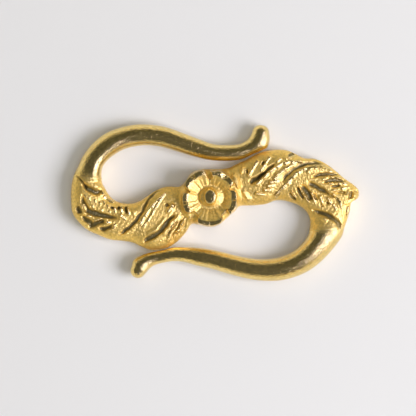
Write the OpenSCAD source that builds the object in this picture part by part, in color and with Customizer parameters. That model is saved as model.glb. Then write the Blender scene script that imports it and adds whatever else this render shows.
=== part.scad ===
// S-hook clasp: two round hooks at the ends of a flat-backed bar carved with leaves and a flower.
// It is one casting, so it is one closed skin through the sections in STATIONS, with the carving
// as a height over the bar's face. Tables are drawn in millimetres on a clasp 28.8 mm long.

/* [Clasp] */
// Overall length of the clasp
clasp_len = 30.3; // [24:0.1:36]
// Depth of the leaves' carving, as a share of the drawn depth
relief = 1; // [0.3:0.1:1.2]

/* [Flower] */
// Height of the petals' flat rims over the bar's face
rim_h = 0.85; // [0.5:0.05:1.0]
// Width of the flat rims
rim_width = 0.48; // [0.2:0.02:0.6]
// Height of the petals' inner ends over the bar's face
cup_h = 0.20; // [0.05:0.05:0.4]
// Height of the low dome in the middle
dome_h = 0.30; // [0.1:0.05:0.5]
// Height of the button on the dome
button_h = 0.34; // [0.2:0.02:0.5]

/* [Mesh] */
// Facets across the face of each section
face_steps = 24; // [16:2:34]
// Facets across the back of each section
back_steps = 6; // [4:2:10]
// Times as many rings and facets
finer = 1; // [1:1:4]

/* [Hidden] */
// Length of the clasp in the tables
drawn_len = 28.82;
grow = clasp_len / drawn_len;

// The flower: its centre, and its petals. Columns: direction and half-width in degrees, radius, and
// the width in degrees of the notch in the rim.
flower_at = [-0.50, 0.42];
PETALS = [
    [-3, 29, 2.70, 0.1],
    [56, 30, 2.92, 6],
    [128, 33, 2.98, 4],
    [190, 29, 2.80, 4],
    [270, 36, 2.80, 0.1]
];
// Radius of the gaps between the petals, rise of a petal's sides and depth of its notch
gap_r = 2.00;
side_h = 0.14;
notch_depth = 0.22;
// The oval dome in the middle and the button on it: centre, and half-widths along X and Y
dome_at = [-0.45, 0.62];
dome_r = [1.20, 1.00];
button_r = [0.66, 0.86];
// Small flat sepals between the petals. Columns: direction and half-width in degrees, inner and
// outer radius.
SEPALS = [
    [82, 13, 1.95, 2.85],
    [-33, 13, 1.95, 2.75]
];
sepal_h = 0.66;
// The disc under the petals
disc_r = 2.72;
disc_h = 0.30;
disc_slope = 0.42;

// Sections from the tip of the upper hook to the tip of the lower one. Columns: x and y of the
// edge on the right of the way, x and y of the edge on its left, z of the back, z of the widest
// level, z of the face, squareness (2 is round, more is boxier), place of the highest line from
// -1 at the left edge to 1 at the right, rings to the next section.
STATIONS = [
    // upper hook: bulb, neck, thin run and left bend
    [3.73, 7.12, 5.41, 7.05, 0.45, 1.25, 2.05, 2, 0, 2],
    [3.50, 6.67, 5.47, 6.35, 0.38, 1.25, 2.12, 2, 0, 2],
    [3.22, 6.32, 5.24, 5.60, 0.38, 1.25, 2.12, 2, 0, 2],
    [2.90, 6.12, 4.62, 5.22, 0.42, 1.25, 2.08, 2, 0, 2],
    [2.53, 5.92, 3.86, 4.92, 0.48, 1.25, 2.02, 2, 0, 1],
    [2.08, 5.84, 2.65, 4.37, 0.50, 1.25, 2.00, 2, 0, 1],
    [1.08, 5.80, 1.20, 4.20, 0.48, 1.25, 2.02, 2, 0, 1],
    [-0.13, 5.88, -0.48, 4.28, 0.45, 1.25, 2.05, 2, 0, 1],
    [-1.50, 6.35, -2.15, 4.65, 0.38, 1.25, 2.12, 2, 0, 1],
    [-3.22, 7.00, -3.84, 5.18, 0.32, 1.25, 2.18, 2, 0, 1],
    [-4.95, 7.60, -5.44, 5.63, 0.30, 1.25, 2.20, 2, 0, 1],
    [-6.59, 7.84, -6.71, 5.77, 0.27, 1.25, 2.23, 2, 0, 2],
    [-8.10, 7.83, -7.89, 5.68, 0.24, 1.25, 2.26, 2, 0, 2],
    [-9.60, 7.50, -9.08, 5.37, 0.20, 1.25, 2.30, 2, -0.05, 2],
    [-11.02, 6.92, -10.10, 4.80, 0.17, 1.25, 2.33, 2, -0.10, 2],
    [-12.25, 5.93, -10.84, 4.17, 0.20, 1.25, 2.28, 2, -0.15, 2],
    [-13.20, 4.72, -11.25, 3.56, 0.15, 1.22, 2.28, 2, -0.20, 2],
    [-13.73, 3.59, -11.36, 2.89, 0.05, 1.15, 2.30, 2, -0.22, 2],
    // outer leaf round the left bend
    [-14.10, 2.83, -11.33, 2.44, 0.00, 1.10, 2.36, 2.2, -0.20, 3],
    [-14.30, 2.10, -11.27, 1.95, 0.00, 1.05, 2.42, 2.35, -0.10, 3],
    [-14.40, 1.20, -11.02, 1.50, 0.00, 1.00, 2.45, 2.4, 0, 4],
    [-14.40, 0.20, -10.67, 0.90, 0.00, 0.95, 2.45, 2.4, 0, 4],
    [-14.30, -0.89, -10.30, 0.45, 0.00, 0.90, 2.45, 2.4, 0, 4],
    [-13.72, -1.81, -9.80, 0.15, 0.00, 0.90, 2.45, 3, 0, 4],
    [-12.77, -2.69, -9.20, -0.02, 0.00, 0.90, 2.45, 3, 0, 3],
    [-11.62, -3.22, -8.60, -0.05, 0.00, 0.90, 2.45, 3, 0, 3],
    [-10.47, -3.67, -8.00, 0.02, 0.00, 0.90, 2.45, 3, 0, 3],
    [-9.33, -3.78, -7.40, 0.27, 0.00, 0.90, 2.45, 3, 0, 3],
    [-8.35, -3.93, -6.75, 0.70, 0.00, 0.90, 2.45, 2.4, 0, 3],
    // inner leaf on the left
    [-7.44, -4.34, -6.00, 1.20, 0.00, 0.90, 2.45, 2.4, 0, 3],
    [-6.51, -4.69, -5.20, 1.57, 0.00, 0.90, 2.45, 2.4, 0, 3],
    [-5.50, -4.66, -4.40, 1.66, 0.00, 0.90, 2.40, 2.4, 0, 3],
    [-4.50, -4.36, -3.55, 1.66, 0.00, 0.90, 2.32, 2.4, 0, 3],
    [-3.65, -3.75, -3.00, 2.15, 0.00, 0.90, 2.25, 2.4, 0, 3],
    [-2.90, -2.93, -2.50, 2.87, 0.00, 0.90, 2.25, 2.7, 0, 3],
    // flower
    [-2.35, -2.12, -1.90, 3.22, 0.00, 0.90, 2.25, 3, 0, 3],
    [-1.70, -2.16, -1.25, 3.37, 0.00, 0.90, 2.25, 3, 0, 3],
    [-0.95, -2.36, -0.65, 3.40, 0.00, 0.90, 2.25, 3, 0, 3],
    [-0.20, -2.40, 0.00, 3.40, 0.00, 0.90, 2.25, 3, 0, 3],
    [0.50, -2.14, 0.70, 3.41, 0.00, 0.90, 2.25, 3, 0, 3],
    [1.20, -1.50, 1.46, 3.55, 0.00, 0.90, 2.25, 3, 0, 3],
    [1.90, -0.90, 2.27, 3.96, 0.00, 0.90, 2.25, 2.7, 0, 3],
    // inner leaf on the right
    [2.45, -0.33, 2.91, 4.23, 0.00, 0.90, 2.25, 2.4, 0, 3],
    [3.25, -0.26, 3.66, 4.63, 0.00, 0.90, 2.32, 2.4, 0, 3],
    [4.20, -0.22, 4.45, 5.02, 0.00, 0.90, 2.40, 2.4, 0, 3],
    [5.10, -0.10, 5.35, 5.25, 0.00, 0.90, 2.45, 2.4, 0, 3],
    [6.00, 0.24, 6.30, 5.35, 0.00, 0.90, 2.45, 2.4, 0, 3],
    [6.90, 0.24, 7.20, 5.28, 0.00, 0.90, 2.45, 2.4, 0, 3],
    [7.70, 0.03, 8.05, 4.92, 0.00, 0.90, 2.45, 2.4, 0, 3],
    // outer leaf round the right bend, with its point
    [8.25, -0.20, 8.90, 4.50, 0.00, 0.90, 2.45, 3, 0, 3],
    [8.65, -0.42, 9.90, 4.43, 0.00, 0.90, 2.45, 3, 0, 3],
    [8.95, -0.67, 10.90, 4.05, 0.00, 0.90, 2.45, 3, 0, 4],
    [9.18, -0.93, 11.90, 3.35, 0.00, 0.90, 2.45, 3, 0, 4],
    [9.34, -1.20, 12.90, 2.50, 0.00, 0.90, 2.45, 3, 0, 4],
    [9.44, -1.45, 14.00, 1.72, 0.00, 0.92, 2.45, 3, 0, 3],
    [9.48, -1.65, 14.39, 1.12, 0.00, 0.95, 2.45, 3, 0, 3],
    [9.50, -1.82, 14.28, 0.50, 0.00, 0.98, 2.47, 3, 0, 3],
    [9.51, -1.98, 13.66, 0.08, 0.00, 1.03, 2.49, 3, 0, 3],
    [9.50, -2.18, 13.48, -0.80, 0.00, 1.10, 2.53, 2.4, 0, 3],
    [9.46, -2.46, 13.20, -1.70, 0.00, 1.22, 2.62, 2.35, 0.03, 3],
    // lower hook: right bend, thin run and curled tip
    [9.40, -2.85, 12.90, -2.60, 0.00, 1.35, 2.75, 2.2, 0.10, 2],
    [9.33, -3.10, 12.65, -3.40, 0.00, 1.40, 2.80, 2, 0.15, 2],
    [8.98, -3.70, 11.75, -4.63, 0.00, 1.40, 2.80, 2, 0.15, 2],
    [8.45, -4.30, 10.60, -5.85, 0.07, 1.40, 2.73, 2, 0.12, 2],
    [7.80, -4.82, 9.35, -6.78, 0.15, 1.40, 2.65, 2, 0.06, 2],
    [7.05, -5.20, 8.00, -7.38, 0.21, 1.40, 2.59, 2, 0, 2],
    [6.15, -5.48, 6.65, -7.72, 0.25, 1.40, 2.55, 2, 0, 2],
    [5.15, -5.60, 5.25, -7.80, 0.30, 1.40, 2.50, 2, 0, 1],
    [4.00, -5.58, 3.80, -7.66, 0.35, 1.40, 2.45, 2, 0, 1],
    [2.80, -5.40, 2.45, -7.38, 0.39, 1.40, 2.41, 2, 0, 1],
    [1.50, -5.10, 1.05, -6.99, 0.42, 1.40, 2.38, 2, 0, 1],
    [0.10, -4.76, -0.40, -6.55, 0.46, 1.40, 2.34, 2, 0, 1],
    [-1.30, -4.52, -1.80, -6.25, 0.52, 1.40, 2.28, 2, 0, 1],
    [-2.70, -4.41, -3.05, -5.90, 0.62, 1.40, 2.18, 2, 0, 1],
    [-4.10, -4.43, -4.10, -5.82, 0.70, 1.40, 2.10, 2, 0, 1],
    [-5.35, -4.73, -5.10, -5.95, 0.76, 1.38, 2.00, 2, 0, 2],
    [-6.50, -4.95, -6.00, -6.20, 0.70, 1.34, 1.98, 2, 0, 2],
    [-7.45, -5.24, -6.50, -6.53, 0.54, 1.30, 2.06, 2, 0, 2],
    [-8.15, -5.70, -6.82, -6.90, 0.46, 1.30, 2.14, 2, 0, 2],
    [-8.35, -6.35, -7.10, -7.20, 0.54, 1.30, 2.06, 2, 0, 1]
];
// Length of the rounded end past the first and the last section, and its rings
tip_len = 0.72;
tip_steps = 3;

// Strokes of the carving. Columns: widths of the flanks on the left and the right of the line's way,
// half-width of the flat between them, height (below zero for a groove), the points of the line.
LEFT_OUTER_LEAF = [
    // collar towards the upper hook, and the ridge along the inner edge
    [0.12, 0.12, 0.05, -0.30, [[-13.9, 2.8], [-13.5, 2.4], [-13.1, 1.9], [-12.8, 1.5]]],
    [0.24, 0.20, 0.17, -0.32, [[-13.2, 1.95], [-12.85, 1.6], [-12.45, 1.27], [-11.9, 1.05], [-11.25, 1.1]]],
    [0.20, 0.35, 0.08, 0.18, [[-12.1, 1.85], [-11.6, 1.65]]],
    [0.38, 0.16, 0.08, 0.18, [[-11.32, 0.93], [-10.9, 0.52], [-10.57, 0.18], [-10.07, 0.07], [-9.5, -0.1]]],
    // midrib
    [0.22, 0.22, 0.13, -0.34, [[-13.1, 0.9], [-13.15, 0.35], [-13.02, -0.23], [-12.75, -0.68],
                               [-12.23, -0.98], [-11.57, -1.15], [-10.9, -1.32], [-10.23, -1.42],
                               [-9.6, -1.6]]],
    // hollows below it, and the ridges between them
    [0.22, 0.20, 0.12, -0.30, [[-13.75, -0.3], [-13.4, -1.15]]],
    [0.24, 0.20, 0.12, -0.30, [[-13.3, -1.25], [-12.75, -1.75], [-12.2, -2.1]]],
    [0.24, 0.22, 0.12, -0.30, [[-12.65, -2.35], [-11.8, -2.05], [-10.95, -1.7]]],
    [0.24, 0.20, 0.10, -0.30, [[-11.55, -2.5], [-11.0, -2.58], [-10.1, -2.25]]],
    [0.26, 0.12, 0.03, 0.14, [[-13.32, -0.1], [-13.1, -0.6], [-13.0, -1.1]]],
    [0.12, 0.22, 0.03, 0.12, [[-12.7, -1.35], [-12.1, -1.48]]],
    [0.12, 0.28, 0.04, 0.14, [[-12.0, -1.8], [-11.5, -1.63], [-10.9, -1.58]]],
    [0.14, 0.32, 0.05, 0.16, [[-11.05, -2.15], [-10.6, -1.95], [-10.2, -1.85]]],
    [0.20, 0.36, 0.08, 0.18, [[-10.2, -2.5], [-9.8, -2.2], [-9.45, -2.1]]],
    [0.42, 0.20, 0.08, 0.20, [[-9.4, -1.6], [-9.0, -1.8], [-8.65, -2.05]]],
    // fine veins above it
    [0.22, 0.08, 0.02, 0.10, [[-12.9, 0.75], [-12.85, 0.4]]],
    [0.22, 0.08, 0.02, 0.10, [[-12.5, 0.5], [-12.35, 0.0]]],
    [0.22, 0.08, 0.02, 0.10, [[-12.05, 0.4], [-11.85, -0.3]]],
    [0.22, 0.08, 0.02, 0.10, [[-11.65, 0.3], [-11.45, -0.5]]],
    [0.22, 0.08, 0.02, 0.10, [[-11.25, 0.2], [-11.05, -0.7]]],
    [0.22, 0.08, 0.02, 0.10, [[-10.8, 0.0], [-10.65, -0.85]]],
    // broader veins and hollows towards the inner leaf
    [0.10, 0.10, 0.10, -0.26, [[-10.25, -0.35], [-10.3, -0.65]]],
    [0.32, 0.10, 0.04, 0.15, [[-9.9, -0.5], [-10.0, -1.05]]],
    [0.10, 0.10, 0.08, -0.26, [[-9.55, -0.35], [-9.6, -0.7]]],
    [0.36, 0.12, 0.05, 0.17, [[-9.23, -0.35], [-9.35, -1.2]]],
    [0.10, 0.10, 0.10, -0.26, [[-8.85, -0.4], [-8.87, -1.05]]],
    [0.36, 0.12, 0.05, 0.16, [[-8.5, -0.45], [-8.6, -1.25]]],
    [0.28, 0.12, 0.03, 0.13, [[-8.15, -0.8], [-8.0, -1.35]]]
];
LEFT_INNER_LEAF = [
    // groove and crest towards the outer leaf, with a thin groove along its long flank
    [0.12, 0.16, 0.06, -0.28, [[-5.2, 1.30], [-6.1, 0.90], [-6.60, 0.40], [-7.02, -0.40], [-7.35, -1.05],
                               [-7.9, -1.75], [-8.6, -2.5], [-9.2, -2.95]]],
    [1.00, 0.20, 0.10, 0.42, [[-5.0, 1.25], [-5.9, 0.9], [-6.35, 0.5], [-6.8, -0.23], [-7.15, -0.95],
                              [-7.8, -1.86], [-8.7, -2.86], [-9.6, -3.3]]],
    [0.08, 0.08, 0.02, -0.10, [[-5.2, 0.8], [-6.0, -0.2], [-6.6, -1.1], [-7.4, -2.2]]],
    // boss and dimple by the flower
    [0.55, 0.20, 0.05, 0.36, [[-4.3, 0.05], [-4.3, -0.4], [-4.7, -1.0]]],
    [0.15, 0.15, 0.08, -0.30, [[-4.95, -0.3], [-4.65, -0.15]]],
    // midrib and the rib beside it
    [0.15, 0.15, 0.15, -0.36, [[-3.97, -1.14], [-4.52, -1.68], [-5.06, -2.4], [-5.7, -3.05],
                               [-6.7, -3.6], [-7.06, -4.0]]],
    [0.34, 0.14, 0.04, 0.16, [[-4.95, -1.45], [-5.4, -1.95], [-5.8, -2.45], [-6.4, -2.9], [-6.9, -3.05]]],
    // veins
    [0.34, 0.12, 0.03, 0.16, [[-3.55, -1.1], [-4.2, -1.85], [-4.75, -2.6], [-5.2, -3.2]]],
    [0.34, 0.12, 0.03, 0.16, [[-4.1, -2.55], [-4.5, -3.2], [-4.85, -3.85]]],
    [0.34, 0.12, 0.03, 0.16, [[-3.2, -1.75], [-3.7, -2.7], [-4.15, -3.5]]],
    [0.34, 0.12, 0.03, 0.16, [[-2.9, -1.45], [-3.25, -2.2], [-3.55, -2.95]]],
    [0.34, 0.12, 0.03, 0.16, [[-2.5, -1.35], [-2.8, -2.1], [-3.0, -2.8]]]
];
RIGHT_INNER_LEAF = [
    // midrib, and the sloping body with its rib
    [0.22, 0.18, 0.10, -0.32, [[3.45, 1.9], [3.8, 2.2], [4.3, 2.5], [4.75, 2.8]]],
    [0.14, 0.10, 0.03, -0.22, [[4.3, 2.5], [4.74, 2.85], [5.3, 3.3], [5.85, 3.75]]],
    [0.14, 1.40, 0.05, 0.60, [[4.37, 1.94], [4.83, 2.4], [5.37, 2.9], [6.0, 3.48], [6.65, 3.85],
                              [7.37, 4.03], [8.28, 4.12], [8.74, 4.07]]],
    [0.10, 0.10, 0.02, -0.08, [[4.75, 1.75], [5.3, 2.3], [5.9, 2.8], [6.5, 3.25], [7.2, 3.6], [8.0, 3.75]]],
    // grooves between the veins of the body
    [0.10, 0.10, 0.02, -0.09, [[6.9, 3.3], [7.3, 3.25], [7.7, 3.4]]],
    [0.10, 0.10, 0.02, -0.09, [[6.3, 2.85], [6.7, 2.75], [7.0, 2.8]]],
    [0.10, 0.12, 0.02, -0.09, [[5.5, 2.2], [6.1, 2.15], [6.6, 2.25]]],
    [0.10, 0.12, 0.02, -0.09, [[4.9, 1.6], [5.5, 1.52], [6.1, 1.6]]],
    [0.10, 0.12, 0.02, -0.09, [[4.7, 1.05], [5.2, 0.95], [5.7, 1.05]]],
    [0.10, 0.30, 0.05, 0.15, [[4.0, 1.0], [4.4, 0.85], [5.0, 0.66]]],
    // veins on the upper side
    [0.38, 0.12, 0.05, 0.18, [[4.28, 4.12], [3.85, 3.55], [3.37, 2.85]]],
    [0.30, 0.12, 0.03, 0.13, [[2.96, 3.57], [2.65, 3.12]]],
    [0.36, 0.12, 0.04, 0.17, [[5.55, 4.57], [5.2, 4.12], [4.55, 3.57], [4.15, 3.12]]],
    [0.24, 0.12, 0.02, 0.10, [[6.8, 4.45], [6.0, 4.1], [5.3, 3.55]]],
    [0.30, 0.12, 0.04, 0.14, [[7.2, 4.55], [7.0, 4.44]]],
    [0.32, 0.12, 0.04, 0.15, [[8.0, 4.62], [7.55, 4.35]]],
    // dimples
    [0.10, 0.10, 0.06, -0.28, [[3.23, 3.4], [3.15, 2.95]]],
    [0.10, 0.10, 0.06, -0.28, [[4.85, 4.2], [4.7, 3.75]]],
    [0.20, 0.18, 0.08, -0.24, [[7.75, 4.95], [7.6, 4.75], [7.45, 4.6]]],
    [0.08, 0.08, 0.06, -0.20, [[4.72, 1.72], [4.8, 1.65]]],
    // ridges by the flower
    [0.40, 0.15, 0.05, 0.20, [[2.65, 1.25], [2.95, 0.85], [3.25, 0.45], [3.7, 0.0]]],
    [0.40, 0.12, 0.08, 0.40, [[1.65, 2.90], [2.05, 2.30], [2.30, 1.40]]],
    [0.12, 0.12, 0.03, 0.20, [[2.75, 3.60], [2.60, 2.90]]]
];
RIGHT_OUTER_LEAF = [
    // groove and crest towards the inner leaf, and the low ridge inside it
    [0.20, 0.12, 0.06, -0.24, [[6.6, 2.15], [7.1, 2.75], [7.9, 3.5], [8.8, 4.0], [9.8, 4.15], [10.6, 4.1]]],
    [0.20, 0.50, 0.06, 0.28, [[4.7, 0.1], [5.8, 0.95], [6.35, 1.45], [6.9, 2.1], [7.45, 2.75], [8.2, 3.35],
                              [9.1, 3.75], [10.0, 3.9], [10.9, 3.85], [11.4, 3.6]]],
    [0.20, 0.20, 0.05, 0.12, [[9.1, 3.0], [9.7, 3.35], [10.7, 3.4], [11.4, 3.15]]],
    // midrib, thick then thin, and the rib beside it
    [0.24, 0.22, 0.12, -0.30, [[9.2, 2.05], [9.9, 1.72], [10.5, 1.38], [11.2, 0.98]]],
    [0.10, 0.10, 0.05, -0.20, [[10.94, 1.12], [11.3, 0.94], [11.75, 0.66], [12.2, 0.4], [12.48, 0.03]]],
    [0.38, 0.12, 0.04, 0.17, [[11.57, 1.12], [12.2, 0.57], [12.66, -0.06], [12.75, -0.8], [12.66, -1.34]]],
    // grooves and ridges of the upper side, down to the point
    [0.20, 0.18, 0.08, -0.26, [[9.7, 2.65], [10.6, 2.8], [11.5, 2.85], [12.4, 2.75]]],
    [0.20, 0.30, 0.04, 0.14, [[11.4, 2.5], [12.1, 2.55], [12.75, 2.4]]],
    [0.18, 0.16, 0.07, -0.26, [[10.8, 2.1], [11.6, 2.2], [12.4, 2.25], [13.2, 2.1]]],
    [0.20, 0.30, 0.04, 0.15, [[12.3, 1.93], [12.9, 1.92], [13.4, 1.85]]],
    [0.18, 0.18, 0.07, -0.26, [[11.4, 1.65], [12.0, 1.7], [12.6, 1.7]]],
    [0.20, 0.30, 0.05, 0.14, [[12.45, 1.38], [13.0, 1.42], [13.5, 1.48]]],
    [0.18, 0.18, 0.04, -0.19, [[12.1, 1.12], [12.5, 1.05], [12.95, 1.08]]],
    [0.12, 0.28, 0.03, 0.14, [[13.1, 0.95], [13.4, 1.12]]],
    [0.20, 0.18, 0.06, -0.24, [[13.62, 1.22], [13.55, 0.8], [13.42, 0.35]]],
    [0.14, 0.14, 0.05, -0.18, [[13.85, 1.3], [14.2, 1.05]]],
    [0.38, 0.15, 0.05, 0.18, [[14.1, 0.95], [13.8, 0.55]]],
    // hollows and ridges of the lower side
    [0.10, 0.10, 0.10, -0.24, [[7.4, 1.05], [7.7, 0.6], [8.1, 0.35]]],
    [0.26, 0.08, 0.02, 0.13, [[7.57, 1.12], [7.85, 0.94], [8.12, 0.57], [8.4, 0.35]]],
    [0.18, 0.16, 0.06, -0.28, [[8.2, 1.65], [8.45, 1.0], [8.85, 0.45]]],
    [0.26, 0.08, 0.02, 0.13, [[8.4, 1.94], [8.66, 1.2], [9.03, 0.48], [9.4, 0.03]]],
    [0.22, 0.22, 0.14, -0.30, [[8.6, 1.8], [9.1, 1.2], [9.4, 0.75], [9.5, 0.2]]],
    [0.38, 0.10, 0.03, 0.18, [[9.62, 0.94], [9.75, 0.48], [10.03, -0.06], [10.3, -0.34]]],
    [0.10, 0.10, 0.06, -0.20, [[9.9, 0.95], [10.15, 0.3]]],
    [0.38, 0.10, 0.03, 0.17, [[10.48, 0.66], [10.75, 0.2], [10.94, -0.15], [11.2, -0.43]]],
    [0.10, 0.10, 0.06, -0.20, [[10.5, 0.0], [10.7, -0.4]]],
    [0.34, 0.10, 0.03, 0.16, [[11.1, 0.66], [11.48, 0.12], [11.85, -0.43]]],
    [0.10, 0.10, 0.08, -0.25, [[11.1, 0.15], [11.3, -0.1]]],
    [0.34, 0.10, 0.03, 0.15, [[11.75, -0.06], [12.2, -0.6]]],
    // collar towards the lower hook
    [0.22, 0.22, 0.12, -0.30, [[9.6, -0.65], [10.48, -0.97], [11.1, -1.15], [11.66, -1.52],
                               [12.2, -1.97], [12.45, -2.8]]],
    [0.38, 0.15, 0.08, 0.18, [[10.7, -1.5], [11.1, -1.95]]],
    [0.34, 0.10, 0.03, 0.16, [[12.55, -2.06], [12.57, -2.7]]],
    [0.32, 0.12, 0.05, 0.15, [[13.2, -0.2], [13.3, -0.5]]],
    [0.32, 0.12, 0.05, 0.15, [[13.15, -0.8], [13.15, -1.1]]]
];

// Smooth curve from b to c between their neighbours a and d, at a share t of the way
function smooth(a, b, c, d, t) =
    b + 0.5 * t * (c - a + t * (2 * a - 5 * b + 4 * c - d + t * (3 * (b - c) + d - a)));

function clamp(x, low, high) = min(high, max(low, x));

function sum(list) = list * [for (x = list) 1];

// A share that rises smoothly from 0 at low to 1 at high
function ramp(x, low, high) =
    let (t = clamp((x - low) / (high - low), 0, 1))
    t * t * (3 - 2 * t);

// Row i of a table, or the nearest end row
function row(table, i) = table[clamp(i, 0, len(table) - 1)];

// The points of a stroke's middle line, made smooth
bends = 3;
function smooth_line(points) = [
    for (i = [0:len(points) - 2])
        for (k = [0:bends - 1])
            smooth(row(points, i - 1), points[i], points[i + 1], row(points, i + 2), k / bends),
    points[len(points) - 1]
];

// The nearest place on a line: its distance from p, its share of the line's way, and a number
// above zero where p is on the left of the way
function to_line(p, line) =
    let (
        count = len(line) - 1,
        places = [
            for (i = [0:count - 1])
                let (
                    ab = line[i + 1] - line[i],
                    off = p - line[i],
                    t = clamp((off * ab) / (ab * ab), 0, 1)
                )
                [norm(off - t * ab), (i + t) / count, ab[0] * off[1] - ab[1] * off[0]]
        ],
        nearest = min([for (place = places) place[0]])
    )
    [for (place = places) if (place[0] == nearest) place][0];

// Strokes ready for use: the flanks, flat and height, smooth line, middle of the line and its reach.
// A flank finer than the skin's facets can hold is drawn wider, and the stroke lower. The finest
// strokes come only with a finer skin.
finest = 0.36 / finer;
thinnest = 0.43 / finer;
STROKES = [
    for (s = concat(LEFT_OUTER_LEAF, LEFT_INNER_LEAF, RIGHT_INNER_LEAF, RIGHT_OUTER_LEAF))
        if (s[0] + s[1] + 2 * s[2] > thinnest)
        let (
            line = smooth_line(s[4]),
            middle = line[floor(len(line) / 2)],
            left = max(s[0], finest),
            right = max(s[1], finest),
            lower = (4 * s[2] + s[0] + s[1]) / (4 * s[2] + left + right),
            reach = s[2] + max(left, right) + max([for (q = line) norm(q - middle)])
        )
        [left, right, s[2], s[3] * lower, line, middle, reach]
];

// Height of one stroke at p, which tapers to both its ends
function stroke_height(p, s) =
    norm(p - s[5]) > s[6] ? 0 :
    let (
        near = to_line(p, s[4]),
        taper = sqrt(4 * near[1] * (1 - near[1])),
        flank = near[2] > 0 ? s[0] : s[1]
    )
    s[3] * ramp(1 - (near[0] - s[2] * taper) / flank, 0, 1) * clamp(1.8 * taper, 0, 1);

// How far an angle is from a direction, in degrees
function turn(angle, direction) = abs(angle - direction - 360 * round((angle - direction) / 360));

// Distance from the middle of an oval, as a share of its half-widths
function oval_share(q, half) = norm([q[0] / half[0], q[1] / half[1]]);

// The petals' scalloped edge at an angle: its radius, the share of half a petal, and the notches
function petal_edge(angle) =
    let (shares = [for (petal = PETALS) turn(angle, petal[0]) / petal[1]])
    [
        max(gap_r, max([
            for (i = [0:len(PETALS) - 1])
                PETALS[i][2] - (PETALS[i][2] - gap_r) * pow(min(shares[i], 1.3), 6)
        ])),
        min(1, min(shares)),
        sum([for (petal = PETALS) exp(-pow(turn(angle, petal[0]) / petal[3], 2))])
    ];

// One sepal's share of its full height at a radius and an angle
function sepal_share(r, angle, sepal) =
    let (a = turn(angle, sepal[0]) / sepal[1])
    ramp((r - sepal[2]) / (sepal[3] - sepal[2]) - a, 0, 0.2) * (1 - ramp(r, sepal[3] - 0.1, sepal[3] + 0.1));

// Height of the oval dome at p and of the button on it. The dome slopes down on its right side.
function dome_height(p) =
    let (
        q = p - dome_at,
        oval = oval_share(q, dome_r),
        sloping = clamp(0.5 + q[0] / 0.8, 0, 1),
        flat = clamp(1 - pow(oval, 6), 0, 1),
        cone = clamp((1.1 - oval) / 0.6, 0, 1),
        button = sqrt(clamp(1 - pow(oval_share(q, button_r), 5), 0, 1))
    )
    dome_h * ((1 - sloping) * flat + sloping * cone) + button_h * button;

// Height of the flower over the bar's face at p, cupped petals round a low dome with a button, and
// 1 inside its scalloped edge or 0 outside, with a soft step between
function flower_at_point(p) =
    let (
        q = p - flower_at,
        r = norm(q),
        angle = atan2(q[1], q[0]),
        petal = petal_edge(angle),
        edge = petal[0],
        side = petal[1],
        off = p - dome_at,
        past_dome = norm(off) * (1 - 1 / max(oval_share(off, dome_r), 1)),
        to_rim = max(0, edge - rim_width * (1 - pow(side, 4)) - r),
        out = past_dome / (past_dome + to_rim + 0.000001),
        rise = (rim_h - cup_h) * (edge - 1.2) / 1.55,
        curl = side_h * out * side * side * (1 - ramp(side, 0.85, 1)),
        cut = notch_depth * petal[2] * ramp(r, edge - 0.6, edge - 0.3),
        in_petals = 1 - ramp(r, edge - 0.14, edge + 0.30),
        sepal = max([for (s = SEPALS) sepal_share(r, angle, s)]),
        petals = max((cup_h + rise * out + curl - cut) * in_petals, sepal_h * sepal),
        disc = disc_h * (1 - clamp((r - disc_r) / disc_slope, 0, 1))
    )
    [max(petals, disc) + dome_height(p), max(in_petals, sepal)];

// Height of all the carving over the bar's face at p, and 1 inside the flower
function carving(p) =
    let (flower = norm(p - flower_at) < disc_r + disc_slope ? flower_at_point(p) : [0, 0])
    flower[1] > 0.98 ? flower :
    [flower[0] + (1 - flower[1]) * relief * sum([for (s = STROKES) stroke_height(p, s)]), flower[1]];

// Place across a section of a share t, from -1 to 1, closer together at a round section's edges
function across(t, square) =
    let (even = 0.6 * clamp(2 * (square - 2), 0, 1))
    even * t + (1 - even) * sin(90 * t);

// How full a section is at the place v, from 1 at its highest line to 0 at its edges
function fullness(v, square, lean) =
    let (u = abs(v - lean) / (v > lean ? 1 - lean : 1 + lean))
    pow(max(0, 1 - pow(u, square)), 1 / square);

// The points of one section, from its left edge over the face to its right edge and back
// under it. The flower lies level over the bar, and the carving fades out at the edges. A carved
// section's back is cut flat at z = 0.
flat_back = 0.4;
edge_ramp = 0.06;
function section_points(s) =
    let (
        middle = [s[0] + s[2], s[1] + s[3]] / 2,
        half = [s[0] - s[2], s[1] - s[3]] / 2,
        carved = clamp(2.5 * (s[7] - 2), 0, 1),
        face = face_steps * finer,
        back = back_steps * finer
    )
    [
        for (i = [0:face - 1])
            let (
                v = across(2 * i / face - 1, s[7]),
                p = middle + v * half,
                at_edge = ramp(1 - abs(v), 0, edge_ramp),
                cut = carved > 0 ? carving(p) * at_edge : [0, 0],
                full = fullness(v, s[7], s[8])
            )
            [p[0], p[1], s[5] + (s[6] - s[5]) * (full + (1 - full) * cut[1]) + carved * cut[0]],
        for (i = [0:back - 1])
            let (v = across(1 - 2 * i / back, s[7]), p = middle + v * half)
            [p[0], p[1], max(0, s[5] - (s[5] - s[4]) * (1 + flat_back * carved) * fullness(v, s[7], 0))]
    ];

// A section of the rounded end past section s, at an angle into its rounding
function tip_section(s, way, angle) =
    let (
        middle = [s[0] + s[2], s[1] + s[3]] / 2 + way * tip_len * sin(angle),
        half = [s[0] - s[2], s[1] - s[3]] / 2 * cos(angle)
    )
    [
        middle[0] + half[0], middle[1] + half[1], middle[0] - half[0], middle[1] - half[1],
        s[5] - (s[5] - s[4]) * cos(angle), s[5], s[5] + (s[6] - s[5]) * cos(angle), s[7], s[8]
    ];

// Direction square to section s, along the way
function way_of(s) =
    let (h = [s[0] - s[2], s[1] - s[3]])
    [-h[1], h[0]] / norm(h);

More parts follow.
